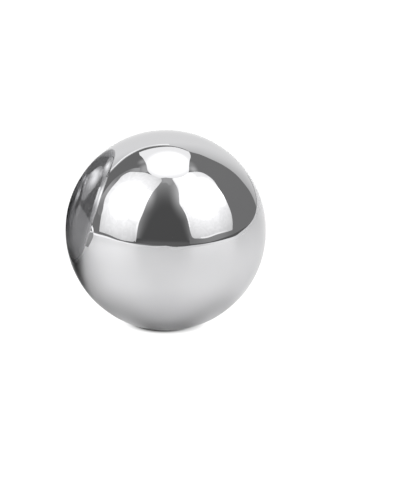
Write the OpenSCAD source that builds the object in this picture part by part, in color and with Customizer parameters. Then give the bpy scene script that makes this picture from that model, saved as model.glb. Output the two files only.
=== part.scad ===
// Steel ball: one solid piece of steel, forged, ground round and polished to a mirror.
// Millimetres, +Z up, origin at the ball's centre.

/* [Ball] */
// Diameter of the ball, the same in every direction
ball_d = 55; // [5:0.5:150]

/* [Hidden] */
// Facets round the equator in OpenSCAD's own preview
$fn = 180;

// The ground ball: a true sphere, with no flat, hole, seam or parting line
module ball() {
    color("silver") sphere(d = ball_d);
}

ball();
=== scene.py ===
import math

import bpy
import numpy as np
from mathutils import Euler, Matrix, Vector


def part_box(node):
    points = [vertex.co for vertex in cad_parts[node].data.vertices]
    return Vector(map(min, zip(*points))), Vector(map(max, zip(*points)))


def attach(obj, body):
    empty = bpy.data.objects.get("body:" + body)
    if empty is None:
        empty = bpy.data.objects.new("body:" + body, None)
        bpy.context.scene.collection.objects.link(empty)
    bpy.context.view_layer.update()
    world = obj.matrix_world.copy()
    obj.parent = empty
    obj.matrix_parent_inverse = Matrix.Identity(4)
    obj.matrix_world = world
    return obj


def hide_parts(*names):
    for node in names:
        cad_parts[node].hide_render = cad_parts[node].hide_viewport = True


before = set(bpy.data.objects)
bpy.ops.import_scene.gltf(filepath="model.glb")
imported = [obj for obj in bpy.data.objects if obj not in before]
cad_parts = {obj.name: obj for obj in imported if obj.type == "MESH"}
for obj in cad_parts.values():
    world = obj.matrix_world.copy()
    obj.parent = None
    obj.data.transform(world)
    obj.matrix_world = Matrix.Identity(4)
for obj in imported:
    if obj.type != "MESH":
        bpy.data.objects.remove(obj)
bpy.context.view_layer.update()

MM = 0.001
WHITE = "FFFFFF"
UP = np.array([0, 0, 1])

# The ball, from the frame: the largest radius that stays inside its box, and the height of its foot
ball_low, ball_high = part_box("ball")
BALL_RADIUS = min(ball_high - ball_low) / 2
FLOOR_Z = ball_low.z

# Mesh of a ball: grid squares along each edge of the cube that is rounded into it, and the grid, as a
# share of the radius, on which points that two sides share become one
BALL_CELLS = 126
SIDE_BALL_CELLS = 64
MERGE_GRID = 1e-7

# Steps of the round table and the dome, in degrees
TURN_STEP, HEIGHT_STEP = 3, 10

# Waves that the lapping plates leave on the ball. They bend what it mirrors and are too low to show in
# its outline. They are drawn up to 0.08 mm deep, more than on a real ball, because the bends would hardly
# show otherwise. Their number, the lengths of the shortest and the longest, and their slope.
LAPPING_WAVES = 32
LAPPING_LENGTHS = (4.5 * MM, 13 * MM)
LAPPING_SLOPE = math.radians(0.42)

# The polish: haze in clouds of this size, the roughness and the colour where it is thinnest and where it
# is thickest, and the tint of the mirror at a grazing angle. Noise lies mostly between the two values of
# NOISE_RANGE.
CLOUD_SIZE = 14 * MM
CLOUD_DETAIL, CLOUD_ROUGHNESS = 3.0, 0.55
NOISE_RANGE = (0.35, 0.7)
POLISH_ROUGHNESS = (0.015, 0.035)
POLISH_COLOURS = ("CDCDCE", "C7C7C9")
GRAZING_TINT = "EEEEEE"

# Finish of the table, with its colour in the painted shade and in the light, and of the second ball
TABLE_SHADED_AND_LIT_COLOURS = ("6A6A6A", "D3D3D3")
SATIN_ROUGHNESS = 0.4
HALF_POLISH_COLOUR = "9A9A9B"
HALF_POLISH_ROUGHNESS = 0.05
SCATTERED_SHARE = 0.4

# A larger ball beside this one, seen only in its mirror, and the gap that keeps the two apart
SIDE_BALL_RADIUS = 41 * MM
SIDE_BALL_AZIMUTH = -112
SIDE_BALL_GAP = 0.05 * MM

# The image in pixels, where the ball lies in it, and the camera, whose sensor is given in millimetres
IMAGE_WIDTH, IMAGE_HEIGHT = 418, 488
BALL_CENTRE_PX = (165.9, 230.3)
BALL_RADIUS_PX = 100.4
SENSOR_SIZE = 36
CAMERA_DISTANCE = 0.5
CAMERA_ELEVATION = math.radians(16)
CAMERA_ROLL = math.radians(0.8)

# Soft creases in the cloths: their width in degrees as the ball sees it, and how far they wander and
# divide
CREASE_WIDTH = 6
CREASE_BEND, CREASE_DETAIL = 1.5, 1.0

# Steps of a cloth's outline from one of its points to the next
OUTLINE_STEPS = 6

# The edge of the table's white sheet waves a little: azimuths, and how far below level the ball sees the
# edge at each. The part past half of the way out is the lit rim, which lies on the sheet and whose glow
# is a painted highlight.
EDGE_AZIMUTHS = (-90, -50, -30, -15, 0, 10, 20, 30, 50, 85, 110, 130, 180)
EDGE_DROPS = (1.8, 0.8, 2.0, 1.9, 1.1, 2.5, 2.5, 2.0, 1.4, 2.4, 0.8, 0.8, 1.3)
RIM_SHARE = 0.5
RIM_LIFT = 0.1 * MM

# The ground and the sky that the camera sees
GROUND_RADIUS = 3.0

# The dark foot of the room behind the cloths: a low wall round everything, whose glow is painted light,
# brighter towards the left cloth
SKIRTING_RADIUS = 4.2
SKIRTING_BOTTOM, SKIRTING_TOP = -0.3, -0.05

# A glow is the direction of its middle as azimuth and elevation, the angles from there at which it
# starts and stops changing, and its strength inside and outside them. A fourth entry stretches it: a
# share below 1 along an axis makes it longer there. A place with several glows shows their sum, from
# which a negative one takes light away.
# In the painted shade beside the second ball, the table's own glow fades to the given share and its
# colour goes from light to dark by as much. The contact glows paint the close shadow on the ground,
# under the ball.
# The rim's glows are a painted highlight where the table's edge catches the light
RIM_PAINTED_HIGHLIGHT = (((-68, 0), (15, 50), (1.58, 1.0)), ((66, 0), (5, 30), (0.28, 0.0)))
# The table's glows are painted light and shade: pools of light, and negative glows that paint shade
TABLE_PAINTED_LIGHT_AND_SHADE = (
    ((-10, -82), (20, 52), (0.04, 0.14)), ((48, -25), (5, 32), (-0.09, 0.0)),
    ((-85, -40), (10, 40), (0.08, 0.0)), ((105, -30), (5, 35), (0.1, 0.0)),
    ((60, -62), (5, 30), (-0.06, 0.0)), ((72, -65), (0, 22), (0.34, 0.0)),
    ((-62, -67), (0, 16), (0.32, 0.0)), ((10, -73), (0, 13), (0.17, 0.0)))
TABLE_PAINTED_SHADE = ((-122, -26), (4, 30), (0.15, 1.0))
CONTACT_PAINTED_SHADOW = (
    ((180, -86), (13.4, 21.2), (0.5, 1.1), (0.87, 1, 1)), ((-156, -85.8), (13.2, 18.6), (-0.46, 0.0)))
SKIRTING_GLOWS = (((-70, 0), (30, 100), (0.30, 0.14)),)
ROOM_GLOW = 0.26

# Cloths and boards round the ball. Each outline is a closed smooth curve through points given by the
# azimuth and elevation at which the ball sees them, where a point given twice is a sharp corner.
# Distances are in metres, and "creases" is the share by which soft creases change the light. The middles
# of the cloths burn out to white. The lit cloths, their hems and the seam are the lamps; the other sheets
# are no lamps, and their glow is painted light.
SHEETS = {
    # The lit cloth on the right, its bright inner hem and the seam along its foot
    "right_diffuser": {
        "distance": 2.4,
        "creases": 0.05,
        "glows": (
            ((55, 45), (14, 77), (1.7, 0.3)), ((55, 45), (0, 26), (4.0, 0.0)),
            ((76, 48), (0, 16), (2.0, 0.0)), ((84, 37), (0, 13), (3.0, 0.0)),
            ((62, 70), (0, 14), (1.6, 0.0))),
        "outline": (
            (31.4, 7), (37, 5.3), (46, 3.8), (61, 4.5), (74, 4), (81.5, 3.5), (81.5, 3.5), (86, 17),
            (89.4, 29), (95, 41), (100, 47), (103.5, 55), (101.5, 62), (90, 70), (68, 75.5), (38, 79),
            (38, 79), (24.5, 74.5), (24.5, 74.5), (24.8, 66), (23, 58), (20.4, 50), (19.6, 44),
            (22.1, 38.5), (25, 32), (27, 24), (28.6, 14))},
    "right_hem": {
        "distance": 2.2,
        "glows": (((27, 30), (10, 40), (1.75, 1.6)),),
        "outline": (
            (28, 18), (28, 18), (27, 24), (25, 32), (23, 36.5), (23, 36.5), (24.5, 36.5), (24.5, 36.5),
            (27.2, 30), (29.2, 18), (29.2, 18))},
    "right_seam": {
        "distance": 2.2,
        "glows": (((52, 5), (10, 25), (1.5, 1.1)),),
        "outline": (
            (40, 4.7), (40, 4.7), (48, 3.8), (61, 4.8), (74, 4.5), (74, 4.5), (74, 5.7), (74, 5.7),
            (61, 6.2), (48, 5.3), (40, 6), (40, 6))},
    # The lit cloth on the left, a brighter one in front of it close to the ball, its inner hem and a thin
    # strip at its lower outer corner whose glow is a painted glint
    "left_diffuser": {
        "distance": 2.4,
        "creases": 0.05,
        "glows": (((-60.5, 40), (13.5, 70), (1.7, 0.44)), ((-60.5, 40), (0, 24), (3.4, 0.0))),
        "outline": (
            (-80.5, 1), (-80.5, 1), (-58, 0.5), (-33, 0), (-33, 0), (-33.2, 9), (-32.5, 20), (-30.8, 29),
            (-29.7, 37), (-29.5, 47), (-26.3, 58.5), (-20.3, 65.5), (-16, 70), (-14, 72.5), (-18, 75),
            (-18, 75), (-32, 78.5), (-66, 74.5), (-83, 71), (-97, 62), (-103.5, 56), (-103, 50),
            (-98.5, 45), (-95.5, 38), (-91, 28), (-85.5, 20), (-84, 13))},
    "near_diffuser": {
        "distance": 0.3,
        "glows": (((-38, 46), (8, 26), (5.0, 1.5)),),
        "outline": (
            (-46, 20), (-46, 20), (-32.4, 20), (-32.4, 20), (-29.9, 38), (-27.3, 56), (-27.3, 56),
            (-46, 56), (-46, 56))},
    "left_hem": {
        "distance": 2.2,
        "glows": (((-30, 42), (20, 42), (1.75, 0.95)),),
        "outline": (
            (-34.3, 0.5), (-34.3, 0.5), (-33.3, 0.5), (-33.3, 0.5), (-33.2, 10), (-32.5, 20),
            (-30.8, 29), (-29.7, 37), (-29.7, 37), (-31, 37), (-31, 37), (-33.5, 29), (-34.8, 20),
            (-35.3, 10))},
    "left_painted_glint": {
        "distance": 0.6,
        "glows": (((-91, 1.5), (2, 6), (1.8, 1.0)),),
        "outline": (
            (-94.9, 4.3), (-94.9, 4.3), (-93.2, 2.3), (-91.2, 0.6), (-89.4, -1.6), (-89.4, -1.6),
            (-87.4, -0.9), (-87.4, -0.9), (-89, 1.5), (-91.2, 3.1), (-93.3, 4.9), (-93.3, 4.9))},
    # A small sheet that stands on the table beside the second ball and glows a dim grey: painted light
    "side_painted_patch": {
        "distance": 0.12,
        "glows": (((-84, -3), (3, 12), (0.46, 0.36)),),
        "outline": (
            (-92, -1.5), (-92, -1.5), (-86, -0.8), (-81, 0.2), (-81, 0.2), (-79.9, -1.5), (-80.4, -4),
            (-82.5, -7.3), (-86, -11.1), (-89, -14), (-89, -14), (-97, -14), (-97, -14))},
    # A dim fold of cloth behind the left cloth's outer edge, whose glow is painted light
    "left_fold": {
        "distance": 3.1,
        "glows": (((-99, 32), (2, 15), (0.56, 0.35)), ((-106, 64), (2, 10), (0.2, 0.0))),
        "outline": (
            (-90, 13), (-96.5, 22), (-99, 30), (-105, 42), (-110, 57), (-107, 66), (-107, 66), (-95, 66),
            (-95, 66), (-84, 13), (-84, 13))},
    # The lit cloth overhead, and the dark ceiling on its right and left, whose glow is painted light,
    # lighter close to the cloth
    "top_diffuser": {
        "distance": 2.0,
        "glows": (((174, 82), (11, 22), (2.2, 1.4)), ((165, 78), (0, 15), (3.4, 0.0))),
        "outline": (
            (-66, 74.5), (-27, 76), (1, 77.5), (24, 76), (54, 73.5), (86, 71), (100, 70.5), (115, 69.5),
            (131, 66), (144, 59.3), (153.5, 54), (153.5, 54), (170, 54), (-175, 54.5), (-160, 53.5),
            (-148.5, 52), (-148.5, 52), (-143.5, 56), (-139.5, 60.5), (-131.5, 65.5), (-113.5, 71),
            (-88.5, 73))},
    "right_ceiling": {
        "distance": 3.0,
        "glows": (((116, 70), (3, 9), (0.42, 0.26)), ((104, 66), (0, 6), (0.34, 0.0))),
        "outline": (
            (85, 60), (85, 60), (85, 80), (85, 80), (160, 75), (160, 75), (160, 45), (160, 45),
            (120, 45), (120, 45))},
    "left_ceiling": {
        "distance": 3.9,
        "glows": (((-100, 73), (3, 11), (0.6, 0.22)), ((-128, 65), (0, 6), (0.3, 0.0))),
        "outline": (
            (-85, 60), (-85, 60), (-85, 80), (-85, 80), (-160, 75), (-160, 75), (-160, 45), (-160, 45),
            (-120, 30), (-95, 30), (-95, 30))},
    # The pale paper behind the ball and its bright upper edge. Their glow is painted light, and the edge's
    # is a painted highlight
    "back_paper": {
        "distance": 2.3,
        "glows": (((-172, 18), (26, 62), (1.12, 0.55)),),
        "outline": (
            (137, -4), (137, -4), (137, 30), (140, 40), (146, 47), (153, 53), (164, 52.5), (-172, 51),
            (-160, 49.5), (-142, 47), (-132, 43.5), (-124, 39), (-118, 34), (-104, 25), (-104, 25),
            (-104, -4), (-104, -4))},
    "paper_edge": {
        "distance": 2.2,
        "glows": (((-137, 42), (6, 16), (1.75, 1.4)), ((180, 48), (3, 12), (0.35, 0.0))),
        "outline": (
            (170, 50), (170, 50), (-172, 49.5), (-160, 48), (-142, 45.5), (-132, 42), (-124, 37),
            (-124, 37), (-124, 35.5), (-124, 35.5), (-132, 40.5), (-142, 44), (-160, 46.5), (-172, 48),
            (170, 48.5), (170, 48.5))},
    # The dark curtain on the camera's side, lighter towards its top and its sides, with the rail above
    # it, the ledge on its right and its slightly lighter hem. Their glow is painted light.
    "front_curtain": {
        "distance": 3.6,
        "glows": (
            ((-2, -60), (66, 110), (0.11, 1.2), (1.9, 1, 0.7)),
            ((-34, 52.5), (0, 11.4), (0.41, 0.0), (1, 0.6, 0.45)),
            ((30, 54), (0, 15.9), (0.52, 0.0), (1, 0.6, 0.45))),
        "outline": (
            (-45, -0.7), (-45, -0.7), (40, -0.7), (40, -0.7), (45, 80), (45, 80), (-45, 80), (-45, 80))},
    "curtain_rail": {
        "distance": 3.4,
        "glows": (((6, 75), (3, 10), (0.58, 0.42)),),
        "outline": (
            (-19, 70.5), (-19, 70.5), (-12, 69.5), (-5, 70.5), (3, 70.5), (8, 67.5), (15, 68), (21, 69),
            (30, 76), (20, 79), (20, 79), (-19, 79), (-19, 79))},
    "front_ledge": {
        "distance": 3.4,
        "glows": (((56, 2), (5, 30), (0.38, 0.26)),),
        "outline": (
            (27, -0.7), (27, -0.7), (55, -0.7), (82, 0), (82, 0), (82, 4), (82, 4), (68, 6.5), (48, 7),
            (27, 7.5), (27, 7.5))},
    "curtain_hem": {
        "distance": 3.4,
        "glows": (((0, 0), (2, 4), (0.17, 0.12), (0.1, 0.1, 1)),),
        "outline": (
            (-45, -0.7), (-45, -0.7), (27, -0.7), (27, -0.7), (27, 4), (27, 4), (-45, 4), (-45, 4))},
}


def linear(hex_colour):
    """An sRGB colour such as "C8C8CA" as linear red, green, blue and alpha, by the sRGB curve."""
    srgb = np.array([int(hex_colour[i:i + 2], 16) for i in (0, 2, 4)]) / 255
    rgb = np.where(srgb <= 0.04045, srgb / 12.92, ((srgb + 0.055) / 1.055) ** 2.4)
    return (*rgb.tolist(), 1.0)


def add_node(tree, kind, inputs=None, **settings):
    """Adds a node with its own settings. inputs gives its sockets a value or another node's output."""
    made = tree.nodes.new(kind)
    for name, value in settings.items():
        setattr(made, name, value)
    for name, value in (inputs or {}).items():
        if isinstance(value, bpy.types.NodeSocket):
            tree.links.new(value, made.inputs[name])
        else:
            made.inputs[name].default_value = value
    return made


def new_material(name):
    """An empty material and its node tree."""
    material = bpy.data.materials.new(name)
    material.use_nodes = True
    material.node_tree.nodes.clear()
    return material, material.node_tree


def new_piece(name, points, faces, material, smooth=False):
    """A mesh object at the origin from arrays of points and faces."""
    mesh = bpy.data.meshes.new(name)
    mesh.from_pydata(points.tolist(), [], faces.tolist())
    mesh.polygons.foreach_set("use_smooth", np.full(len(faces), smooth))
    mesh.materials.append(material)
    mesh.update()
    piece = bpy.data.objects.new(name, mesh)
    bpy.context.scene.collection.objects.link(piece)
    return piece


def flat_piece(name, outline, material):
    """A piece with one flat face inside its outline, given as an array of points."""
    return new_piece(name, outline, np.arange(len(outline))[None, :], material)


def toward(azimuth, elevation):
    """The unit vector towards azimuth a and elevation e in degrees: (sin a cos e, -cos a cos e, sin e)."""
    a, e = np.radians(azimuth), np.radians(elevation)
    return np.stack([np.sin(a) * np.cos(e), -np.cos(a) * np.cos(e), np.sin(e)], axis=-1)


def lapping_waves(directions):
    """How low each point of the ball lies under the sphere of its radius, in metres.

    The height is a sum of sine waves through space, sin(k . p + phase), read where they meet the ball.
    Wave number i runs towards point i of a golden-angle spiral over the sphere, so that no direction is
    favoured, and its phase is i squared times the golden angle. The lengths are spread evenly between
    the two limits. Each wave is as high as its share of the slope allows, which is the slope over the
    root of half the number of waves. The sum is then lowered until its highest point touches the sphere.
    """
    golden_angle = math.pi * (3 - math.sqrt(5))
    i = np.arange(LAPPING_WAVES)
    z = 1 - (2 * i + 1) / LAPPING_WAVES
    ring = np.sqrt(1 - z ** 2)
    axes = np.stack([ring * np.cos(i * golden_angle), ring * np.sin(i * golden_angle), z], axis=-1)
    wave_number = 2 * math.pi / np.linspace(*LAPPING_LENGTHS, LAPPING_WAVES)
    slope_share = LAPPING_SLOPE / math.sqrt(LAPPING_WAVES / 2)
    phase = i * i * golden_angle
    travel = BALL_RADIUS * directions @ (axes * wave_number[:, None]).T
    height = (np.sin(travel + phase) * slope_share / wave_number).sum(axis=-1)
    return height.max() - height


def ball_surface(cells):
    """The ball's surface as points and square faces, with no pole and no open seam.

    Each side of a cube carries a grid of two angles, a and b, from -45 to 45 degrees. Its points are
    (tan a, tan b, 1) divided by their own length, which rounds the side into a sixth of a sphere with
    nearly equal squares. Turning that side six ways gives the whole sphere, and points that two sides
    share are merged. The distance from the centre is the radius less the lapping waves.
    """
    angle = np.linspace(-math.pi / 4, math.pi / 4, cells + 1)
    a, b = np.meshgrid(angle, angle, indexing="ij")
    side = np.stack([np.tan(a), np.tan(b), np.ones_like(a)], axis=-1)
    half_turn = np.array([1, -1, -1])
    turned = [np.roll(side * flip, axis, axis=-1) for flip in (1, half_turn) for axis in range(3)]
    directions = np.concatenate([t.reshape(-1, 3) for t in turned])
    directions /= np.linalg.norm(directions, axis=-1, keepdims=True)

    corner = np.arange((cells + 1) ** 2).reshape(cells + 1, cells + 1)
    square = np.stack([corner[:-1, :-1], corner[1:, :-1], corner[1:, 1:], corner[:-1, 1:]], axis=-1)
    faces = np.concatenate([square.reshape(-1, 4) + len(corner) ** 2 * k for k in range(6)])

    grid_place = np.rint(directions / MERGE_GRID).astype(np.int64)
    _, first, merged = np.unique(grid_place, axis=0, return_index=True, return_inverse=True)
    directions = directions[first]
    points = directions * (BALL_RADIUS - lapping_waves(directions))[:, None]
    return points, merged.reshape(-1)[faces]


def mirror_polished_chrome_steel():
    """Chrome steel, ground and then polished with ever finer compound.

    The eye sees a neutral grey mirror, darker than silver, whose reflections are crisp. Polishing leaves
    a very faint haze in clouds, which softens and darkens the reflection a little here and there.
    """
    material, tree = new_material("mirror_polished_chrome_steel")
    place = add_node(tree, "ShaderNodeTexCoord").outputs["Object"]
    clouds = add_node(tree, "ShaderNodeTexNoise", {
        "Vector": place, "Scale": 1 / CLOUD_SIZE, "Detail": CLOUD_DETAIL,
        "Roughness": CLOUD_ROUGHNESS}).outputs["Fac"]
    thin, thick = (linear(colour) for colour in POLISH_COLOURS)
    colour = add_node(tree, "ShaderNodeMix", {
        "Factor": clouds, "A": thin, "B": thick}, data_type="RGBA").outputs["Result"]
    roughness = add_node(tree, "ShaderNodeMapRange", {
        "Value": clouds, "From Min": NOISE_RANGE[0], "From Max": NOISE_RANGE[1],
        "To Min": POLISH_ROUGHNESS[0], "To Max": POLISH_ROUGHNESS[1]}).outputs["Result"]
    shader = add_node(tree, "ShaderNodeBsdfPrincipled", {
        "Base Color": colour, "Metallic": 1.0, "Roughness": roughness,
        "Specular Tint": linear(GRAZING_TINT)})
    add_node(tree, "ShaderNodeOutputMaterial", {"Surface": shader.outputs["BSDF"]})
    return material


def seen_from_ball(tree):
    """Adds nodes for the direction in which the ball's centre, the origin, sees a place."""
    place = add_node(tree, "ShaderNodeTexCoord").outputs["Object"]
    return add_node(tree, "ShaderNodeVectorMath", {0: place}, operation="NORMALIZE").outputs["Vector"]


def graded_strength(tree, middle, angles, strengths, stretch=(1, 1, 1)):
    """Adds nodes for a strength that changes smoothly with the direction in which the ball sees a place.

    The strength is strengths[0] up to angles[0] degrees from the middle and strengths[1] past angles[1].
    The angle between two directions is measured by their chord, 2 sin(angle / 2), after the stretch.
    """
    seen = seen_from_ball(tree)
    away = add_node(tree, "ShaderNodeVectorMath", {0: seen, 1: toward(*middle)}, operation="SUBTRACT")
    wide = add_node(
        tree, "ShaderNodeVectorMath", {0: away.outputs["Vector"], 1: stretch}, operation="MULTIPLY")
    chord = add_node(tree, "ShaderNodeVectorMath", {0: wide.outputs["Vector"]}, operation="LENGTH")
    near, far = (2 * math.sin(math.radians(angle) / 2) for angle in angles)
    strength = add_node(tree, "ShaderNodeMapRange", {
        "Value": chord.outputs["Value"], "From Min": near, "From Max": far,
        "To Min": strengths[0], "To Max": strengths[1]}, interpolation_type="SMOOTHSTEP")
    return strength.outputs["Result"]


def summed_glows(tree, glows, creases=0.0):
    """Adds nodes for the sum of graded strengths, which soft creases change by up to a given share."""
    total = graded_strength(tree, *glows[0])
    for glow in glows[1:]:
        more = graded_strength(tree, *glow)
        total = add_node(tree, "ShaderNodeMath", {0: total, 1: more}, operation="ADD").outputs["Value"]
    if creases:
        noise = add_node(tree, "ShaderNodeTexNoise", {
            "Vector": seen_from_ball(tree), "Scale": 1 / math.radians(CREASE_WIDTH),
            "Detail": CREASE_DETAIL, "Distortion": CREASE_BEND})
        share = add_node(tree, "ShaderNodeMapRange", {
            "Value": noise.outputs["Fac"], "From Min": NOISE_RANGE[0], "From Max": NOISE_RANGE[1],
            "To Min": 1 - creases, "To Max": 1 + creases}).outputs["Result"]
        total = add_node(
            tree, "ShaderNodeMath", {0: total, 1: share}, operation="MULTIPLY").outputs["Value"]
    return total


def glowing(name, glows, creases=0.0):
    """A lit surface with the given graded strength and no other light of its own."""
    material, tree = new_material(name)
    glow = add_node(tree, "ShaderNodeEmission", {"Strength": summed_glows(tree, glows, creases)})
    add_node(tree, "ShaderNodeOutputMaterial", {"Surface": glow.outputs["Emission"]})
    return material


def satin_acrylic_painted_light_and_shade():
    """A cast white acrylic sheet, sanded to a satin, whose glow is painted light and shade.

    The eye sees a soft white that mirrors the cloths faintly. Its glow paints pools of light, and negative
    glows paint shade. The shade beside the second ball is deeper than the studio's own light makes it, so
    the sheet is painted greyer there and its glow fades: a painted shade.
    """
    material, tree = new_material("satin_acrylic_painted_light_and_shade")
    # Painted shade beside the second ball dims the painted glow and greys the colour
    shade = graded_strength(tree, *TABLE_PAINTED_SHADE)
    glows = summed_glows(tree, TABLE_PAINTED_LIGHT_AND_SHADE)
    glow = add_node(tree, "ShaderNodeMath", {0: glows, 1: shade}, operation="MULTIPLY")
    dark, light = (linear(colour) for colour in TABLE_SHADED_AND_LIT_COLOURS)
    colour = add_node(tree, "ShaderNodeMix", {
        "Factor": shade, "A": dark, "B": light}, data_type="RGBA").outputs["Result"]
    shader = add_node(tree, "ShaderNodeBsdfPrincipled", {
        "Base Color": colour, "Roughness": SATIN_ROUGHNESS,
        "Emission Color": linear(WHITE), "Emission Strength": glow.outputs["Value"]})
    add_node(tree, "ShaderNodeOutputMaterial", {"Surface": shader.outputs["BSDF"]})
    return material


def half_polished_steel():
    """Steel that is finely ground and only half polished.

    The eye sees a darker mirror under a veil, because what is left of the grinding scatters part of the
    light. The share that is not metallic stands for that scatter.
    """
    material, tree = new_material("half_polished_steel")
    shader = add_node(tree, "ShaderNodeBsdfPrincipled", {
        "Base Color": linear(HALF_POLISH_COLOUR), "Metallic": 1 - SCATTERED_SHARE,
        "Roughness": HALF_POLISH_ROUGHNESS})
    add_node(tree, "ShaderNodeOutputMaterial", {"Surface": shader.outputs["BSDF"]})
    return material


def stage_for_mirror(prop):
    """Marks a prop that lights the scene and shows in the ball's mirror, but not in the image."""
    prop.visible_camera = False


def stage_for_camera(prop):
    """Marks a prop that shows in the image and neither lights, shades nor shows in the mirror."""
    prop.visible_diffuse = False
    prop.visible_glossy = False
    prop.visible_transmission = False
    prop.visible_volume_scatter = False
    prop.visible_shadow = False


def smooth_outline(points):
    """A closed smooth curve through the points, with a sharp corner where a point is given twice.

    Each stretch is a cubic from one point to the next. Its slope at a point is the step from the point
    before to the point after, divided by the way between them through the point.
    """
    before, after = np.roll(points, 1, axis=0), np.roll(points, -1, axis=0)
    length = np.linalg.norm(after - points, axis=-1, keepdims=True)
    slope = (after - before) / (length + np.roll(length, 1, axis=0))
    t = np.linspace(0, 1, OUTLINE_STEPS, endpoint=False)[:, None, None]
    slope_after = np.roll(slope, -1, axis=0)
    curve = (
        (2 * t ** 3 - 3 * t ** 2 + 1) * points + (3 * t ** 2 - 2 * t ** 3) * after
        + ((t ** 3 - 2 * t ** 2 + t) * slope + (t ** 3 - t ** 2) * slope_after) * length)
    return curve.transpose(1, 0, 2)[length[:, 0] > 0].reshape(-1, 3)


def hung_sheet(name, outline, distance, glows, creases=0.0):
    """A flat glowing sheet whose outline is seen from the ball at the given azimuths and elevations.

    The sheet stands square to the mean of those directions, m, at the given distance. A point of the
    outline in direction d then lies at d * distance / (d . m).
    """
    azimuth, elevation = np.array(outline, dtype=float).T
    directions = smooth_outline(toward(azimuth, elevation))
    middle = directions.mean(axis=0)
    middle /= np.linalg.norm(middle)
    points = directions * (distance / (directions @ middle))[:, None]
    stage_for_mirror(flat_piece(name, points, glowing(name, glows, creases)))


def unit_ring():
    """Points of a level circle of radius 1 round the origin, (cos t, sin t, 0) at even steps of t."""
    turn = np.radians(np.arange(0, 360, TURN_STEP))
    return np.stack([np.cos(turn), np.sin(turn), np.zeros_like(turn)], axis=-1)


def ring_faces(rings):
    """Points and square faces that join each ring of points to the next one."""
    corner = np.arange(rings.shape[0] * rings.shape[1]).reshape(rings.shape[:2])
    after = np.roll(corner, -1, axis=1)
    faces = np.stack([corner[:-1], after[:-1], after[1:], corner[1:]], axis=-1)
    return rings.reshape(-1, 3), faces.reshape(-1, 4)


def make_ball():
    """The object itself."""
    points, faces = ball_surface(BALL_CELLS)
    ball = new_piece("polished_ball", points, faces, mirror_polished_chrome_steel(), smooth=True)
    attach(ball, "root")
    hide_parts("ball")


def make_table():
    """The lit table that the ball mirrors, and the dark foot of the room behind it.

    The table's edge is the ring scaled by the height of the ball's centre above the table over the
    tangent of the angle at which the centre looks down on the edge. The rim is the outer part of the
    table, whose glow is a painted highlight for the cloths' light that it catches. The table's own glow
    is painted light and shade, and the foot of the room glows with painted light.
    """
    ring = unit_ring()
    azimuth = np.degrees(np.arctan2(ring[:, 0], -ring[:, 1]))
    drop = np.radians(np.interp(azimuth, EDGE_AZIMUTHS, EDGE_DROPS, period=360))
    edge = ring * (-FLOOR_Z / np.tan(drop))[:, None]
    stage_for_mirror(flat_piece("table", edge + UP * FLOOR_Z, satin_acrylic_painted_light_and_shade()))

    lifted = UP * (FLOOR_Z + RIM_LIFT)
    # The rim's glow is a painted highlight
    rim = np.stack([edge * RIM_SHARE + lifted, edge + lifted])
    stage_for_mirror(new_piece("table_rim", *ring_faces(rim), glowing("painted_rim_highlight", RIM_PAINTED_HIGHLIGHT)))
    wall = np.stack([ring * SKIRTING_RADIUS + UP * z for z in (SKIRTING_BOTTOM, SKIRTING_TOP)])
    stage_for_mirror(new_piece("skirting", *ring_faces(wall), glowing("dark_skirting", SKIRTING_GLOWS)))


def make_ground():
    """The white ground and sky that the camera sees.

    The ground is as high as the table and burns out to white, apart from the painted close shadow round
    the point where the ball stands. The sky is a dome over it: rings of radius cos h at the height sin h,
    times the radius of the ground.
    """
    ring = unit_ring()
    # The ground's glow paints the close shadow under the ball
    white = glowing("white_with_painted_contact_shadow", CONTACT_PAINTED_SHADOW)
    stage_for_camera(flat_piece("ground", ring * GROUND_RADIUS + UP * FLOOR_Z, white))
    height = np.radians(np.arange(0, 90 + HEIGHT_STEP, HEIGHT_STEP))[:, None, None]
    dome = ring * np.cos(height) + UP * np.sin(height)
    stage_for_camera(new_piece("sky", *ring_faces(dome * GROUND_RADIUS + UP * FLOOR_Z), white))


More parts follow.
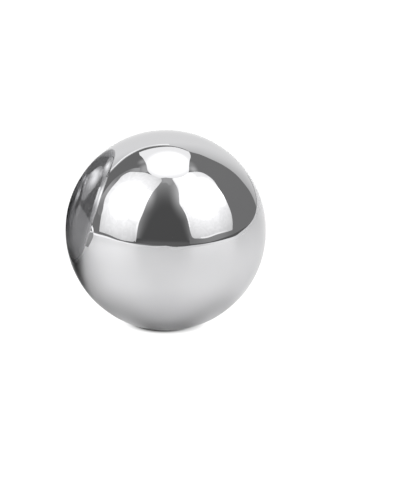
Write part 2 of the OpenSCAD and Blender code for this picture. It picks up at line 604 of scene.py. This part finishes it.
def make_studio():
    """The cloths and boards round the table, and the dark room between them."""
    for name, sheet in SHEETS.items():
        hung_sheet(name, **sheet)

    world = bpy.data.worlds.new("dim_room")
    world.use_nodes = True
    tree = world.node_tree
    tree.nodes.clear()
    room = add_node(tree, "ShaderNodeBackground", {"Color": linear(WHITE), "Strength": ROOM_GLOW})
    add_node(tree, "ShaderNodeOutputWorld", {"Surface": room.outputs["Background"]})
    bpy.context.scene.world = world


def make_side_ball():
    """The second ball, the first one's surface scaled up.

    It stands on the same table, so its centre is higher by the difference of the two radii, at a
    distance of their sum and the gap.
    """
    points, faces = ball_surface(SIDE_BALL_CELLS)
    rise = SIDE_BALL_RADIUS - BALL_RADIUS
    apart = SIDE_BALL_RADIUS + BALL_RADIUS + SIDE_BALL_GAP
    place = toward(SIDE_BALL_AZIMUTH, math.degrees(math.asin(rise / apart))) * apart
    points = points * (SIDE_BALL_RADIUS / BALL_RADIUS) + place
    stage_for_mirror(new_piece("side_ball", points, faces, half_polished_steel(), smooth=True))


def make_camera():
    """A long lens that sees the ball at its place and size in the image.

    The lens comes from the ball's outline, which is seen at the angle whose sine is radius over
    distance. The camera first faces the ball's centre, is rolled a little, and is then turned by two
    small angles, because the ball stands off the image's middle.
    """
    outline_angle = math.asin(BALL_RADIUS / CAMERA_DISTANCE)
    lens_px = BALL_RADIUS_PX / math.tan(outline_angle)
    turn_right = math.atan((IMAGE_WIDTH / 2 - BALL_CENTRE_PX[0]) / lens_px)
    turn_down = math.atan((IMAGE_HEIGHT / 2 - BALL_CENTRE_PX[1]) / lens_px)

    camera_data = bpy.data.cameras.new("camera")
    camera_data.sensor_width = SENSOR_SIZE
    camera_data.lens = lens_px * SENSOR_SIZE / max(IMAGE_WIDTH, IMAGE_HEIGHT)
    camera = bpy.data.objects.new("camera", camera_data)
    back = Vector((0, -math.cos(CAMERA_ELEVATION), math.sin(CAMERA_ELEVATION)))
    facing = (-back).to_track_quat("-Z", "Y").to_matrix()
    turned = Euler((-turn_down, -turn_right, 0)).to_matrix()
    rolled = Euler((0, 0, CAMERA_ROLL)).to_matrix()
    camera.matrix_world = (facing @ rolled @ turned).to_4x4()
    camera.location = back * CAMERA_DISTANCE
    bpy.context.scene.collection.objects.link(camera)
    bpy.context.scene.camera = camera


make_camera()
make_ball()
make_table()
make_ground()
make_studio()
make_side_ball()
bpy.context.scene.view_settings.view_transform = "Standard"
